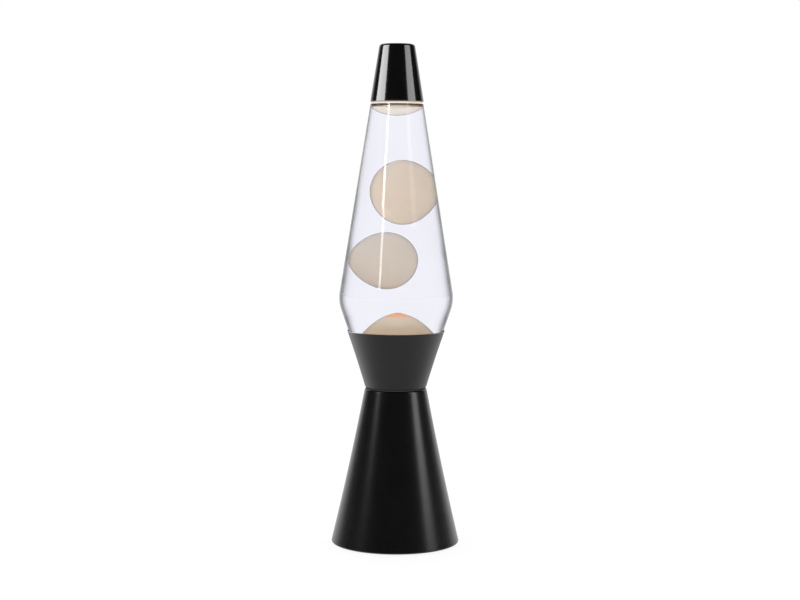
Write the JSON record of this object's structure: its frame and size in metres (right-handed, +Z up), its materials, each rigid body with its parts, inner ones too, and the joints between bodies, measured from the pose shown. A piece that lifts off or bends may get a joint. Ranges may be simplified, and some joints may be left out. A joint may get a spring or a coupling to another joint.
{
  "type": "lava lamp",
  "caption": "Lava lamp: a black cone foot and grey cup hold a clear glass bottle of ivory wax in liquid under a tapered black cap, with a reflector bulb inside.",
  "frame": {"origin": "middle of the plane that the rubber feet stand on, on the lamp's axis", "axes": "+Z up along the lamp's axis, -Y towards the front, +Y towards the cord gland at the back, +X to the right seen from the front"},
  "size_m": [0.1028, 0.1028, 0.4],
  "materials": {
    "foot_black": "satin",
    "cup_grey": "satin",
    "cap_black": "gloss",
    "washer_fibre": "matte",
    "base_plastic": "matte",
    "gland_plastic": "satin",
    "feet_rubber": "matte",
    "zinc_steel": "satin",
    "screw_steel": "satin",
    "coil_steel": "satin",
    "tinplate": "gloss",
    "brass": "satin",
    "holder_plastic": "satin",
    "porcelain": "gloss",
    "bulb_glass": "gloss",
    "bulb_metal": "satin",
    "black_glass": "gloss",
    "solder": "satin",
    "lead_wire": "satin",
    "tungsten": "satin",
    "bottle_glass": "gloss",
    "clear_liquid": "gloss",
    "ivory_wax": "satin",
    "liner_plastic": "matte"
  },
  "bodies": {
    "base": {"foot_shell": "foot_black", "cup_shell": "cup_grey", "waist_washer": "washer_fibre", "base_plate": "base_plastic", "plate_lugs": "zinc_steel", "plate_screws": "screw_steel", "rubber_feet": "feet_rubber", "cord_gland": "gland_plastic", "holder_bridge": "zinc_steel", "waist_screws": "screw_steel", "waist_nuts": "screw_steel", "holder_nipple": "brass", "nipple_nut": "screw_steel", "holder_skirt": "holder_plastic", "holder_core": "porcelain", "holder_shell": "brass", "terminal_screws": "brass"},
    "contact": {"holder_contact": "brass"},
    "bulb": {"bulb_envelope": "bulb_glass", "bulb_cap": "bulb_metal", "bulb_insulator": "black_glass", "bulb_tip": "solder", "bulb_stem": "bulb_glass", "bulb_leads": "lead_wire", "bulb_filament": "tungsten"},
    "bottle_unit": {"bottle": "bottle_glass", "liquid": "clear_liquid", "wax_mound": "ivory_wax", "wax_crest": "ivory_wax", "wire_coil": "coil_steel", "crown_closure": "tinplate", "crown_liner": "liner_plastic"},
    "upper_wax": {"upper_wax": "ivory_wax"},
    "middle_wax": {"middle_wax": "ivory_wax"},
    "cap": {"cap": "cap_black"}
  },
  "joints": [
    {"name": "bottle_lift", "type": "slide", "parent": "base", "child": "bottle_unit", "axis": [0, 0, 1], "range_m": [0, 0.06]},
    {"name": "cap_lift", "type": "slide", "parent": "bottle_unit", "child": "cap", "axis": [0, 0, 1], "range_m": [0, 0.05]},
    {"name": "upper_wax_rise", "type": "slide", "parent": "bottle_unit", "child": "upper_wax", "axis": [0, 0, 1], "range_m": [-0.003, 0.022], "deforming": ["liquid"]},
    {"name": "middle_wax_rise", "type": "slide", "parent": "bottle_unit", "child": "middle_wax", "axis": [0, 0, 1], "range_m": [-0.01, 0.003], "deforming": ["liquid"]},
    {"name": "contact_rise", "type": "slide", "parent": "base", "child": "contact", "axis": [0, 0, 1], "range_m": [0, 0.00283]},
    {"name": "bulb_turn", "type": "hinge", "parent": "contact", "child": "bulb", "pos_m": [0, 0, 0.1], "axis": [0, 0, 1], "range_deg": [0, 360]}
  ],
  "couplings": [
    {"joint": "contact_rise", "follows": "bulb_turn", "m_per_rad": 0.00044917}
  ]
}
